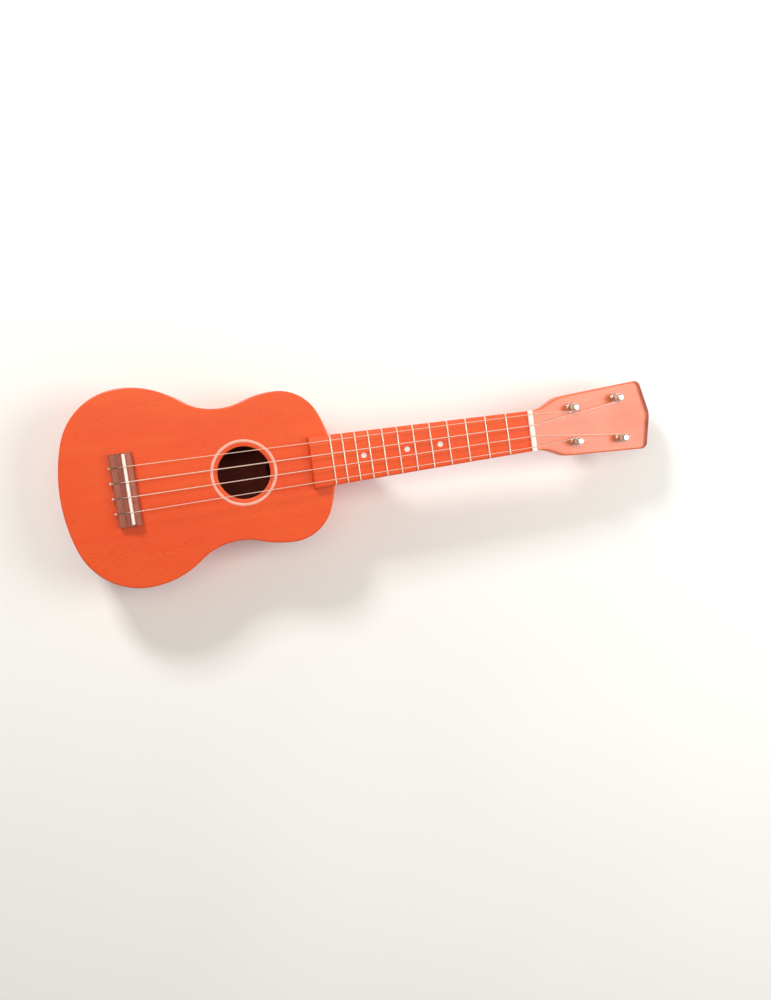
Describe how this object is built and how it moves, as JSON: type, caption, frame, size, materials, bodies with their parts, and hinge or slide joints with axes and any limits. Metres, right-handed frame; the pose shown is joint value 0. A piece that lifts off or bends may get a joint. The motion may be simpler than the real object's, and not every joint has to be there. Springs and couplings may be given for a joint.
{
  "type": "soprano ukulele",
  "caption": "Small waisted plucked string instrument with a round soundhole, a fretted neck and a tilted headstock with rear-facing friction pegs.",
  "frame": {"origin": "below the middle of the whole length, on the plane of the flat back that it rests on", "axes": "+X along the neck to the headstock, +Y to the bass side, +Z out of the soundboard"},
  "size_m": [0.5246, 0.172, 0.0682],
  "materials": {
    "orange_wood": "satin",
    "bare_wood": "matte",
    "rosewood": "matte",
    "white_plastic": "gloss",
    "button_plastic": "gloss",
    "pearl": "gloss",
    "fret_wire": "polished",
    "nickel": "polished",
    "nylon": "gloss"
  },
  "bodies": {
    "instrument": {"soundboard": "orange_wood", "rosette": "white_plastic", "back": "orange_wood", "side_bass": "orange_wood", "side_treble": "orange_wood", "lining_top_bass": "bare_wood", "lining_top_treble": "bare_wood", "lining_back_bass": "bare_wood", "lining_back_treble": "bare_wood", "neck_block": "bare_wood", "tail_block": "bare_wood", "top_brace_upper": "bare_wood", "top_brace_lower": "bare_wood", "bridge_plate": "bare_wood", "back_brace_upper": "bare_wood", "back_brace_lower": "bare_wood", "neck_dowels": "bare_wood", "neck": "orange_wood", "headstock": "orange_wood", "fretboard": "orange_wood", "fret_01": "fret_wire", "fret_02": "fret_wire", "fret_03": "fret_wire", "fret_04": "fret_wire", "fret_05": "fret_wire", "fret_06": "fret_wire", "fret_07": "fret_wire", "fret_08": "fret_wire", "fret_09": "fret_wire", "fret_10": "fret_wire", "fret_11": "fret_wire", "fret_12": "fret_wire", "dot_05": "pearl", "dot_07": "pearl", "dot_10": "pearl", "nut": "white_plastic", "bridge": "rosewood", "saddle": "white_plastic", "string_g": "nylon", "string_c": "nylon", "string_e": "nylon", "string_a": "nylon", "front_bushings": "nickel", "rear_washers": "nickel"},
    "peg_g": {"winding_g": "nylon", "peg_post_g": "nickel", "peg_button_g": "button_plastic", "peg_screw_g": "nickel"},
    "peg_c": {"winding_c": "nylon", "peg_post_c": "nickel", "peg_button_c": "button_plastic", "peg_screw_c": "nickel"},
    "peg_e": {"winding_e": "nylon", "peg_post_e": "nickel", "peg_button_e": "button_plastic", "peg_screw_e": "nickel"},
    "peg_a": {"winding_a": "nylon", "peg_post_a": "nickel", "peg_button_a": "button_plastic", "peg_screw_a": "nickel"}
  },
  "joints": [
    {"name": "peg_g_turn", "type": "hinge", "parent": "instrument", "child": "peg_g", "pos_m": [0.18499, 0.015, 0.05466], "axis": [0.2334, 0, 0.9724], "continuous": true},
    {"name": "peg_c_turn", "type": "hinge", "parent": "instrument", "child": "peg_c", "pos_m": [0.22874, 0.018, 0.04416], "axis": [0.2334, 0, 0.9724], "continuous": true},
    {"name": "peg_e_turn", "type": "hinge", "parent": "instrument", "child": "peg_e", "pos_m": [0.22874, -0.018, 0.04416], "axis": [0.2334, 0, 0.9724], "continuous": true},
    {"name": "peg_a_turn", "type": "hinge", "parent": "instrument", "child": "peg_a", "pos_m": [0.18499, -0.015, 0.05466], "axis": [0.2334, 0, 0.9724], "continuous": true}
  ]
}
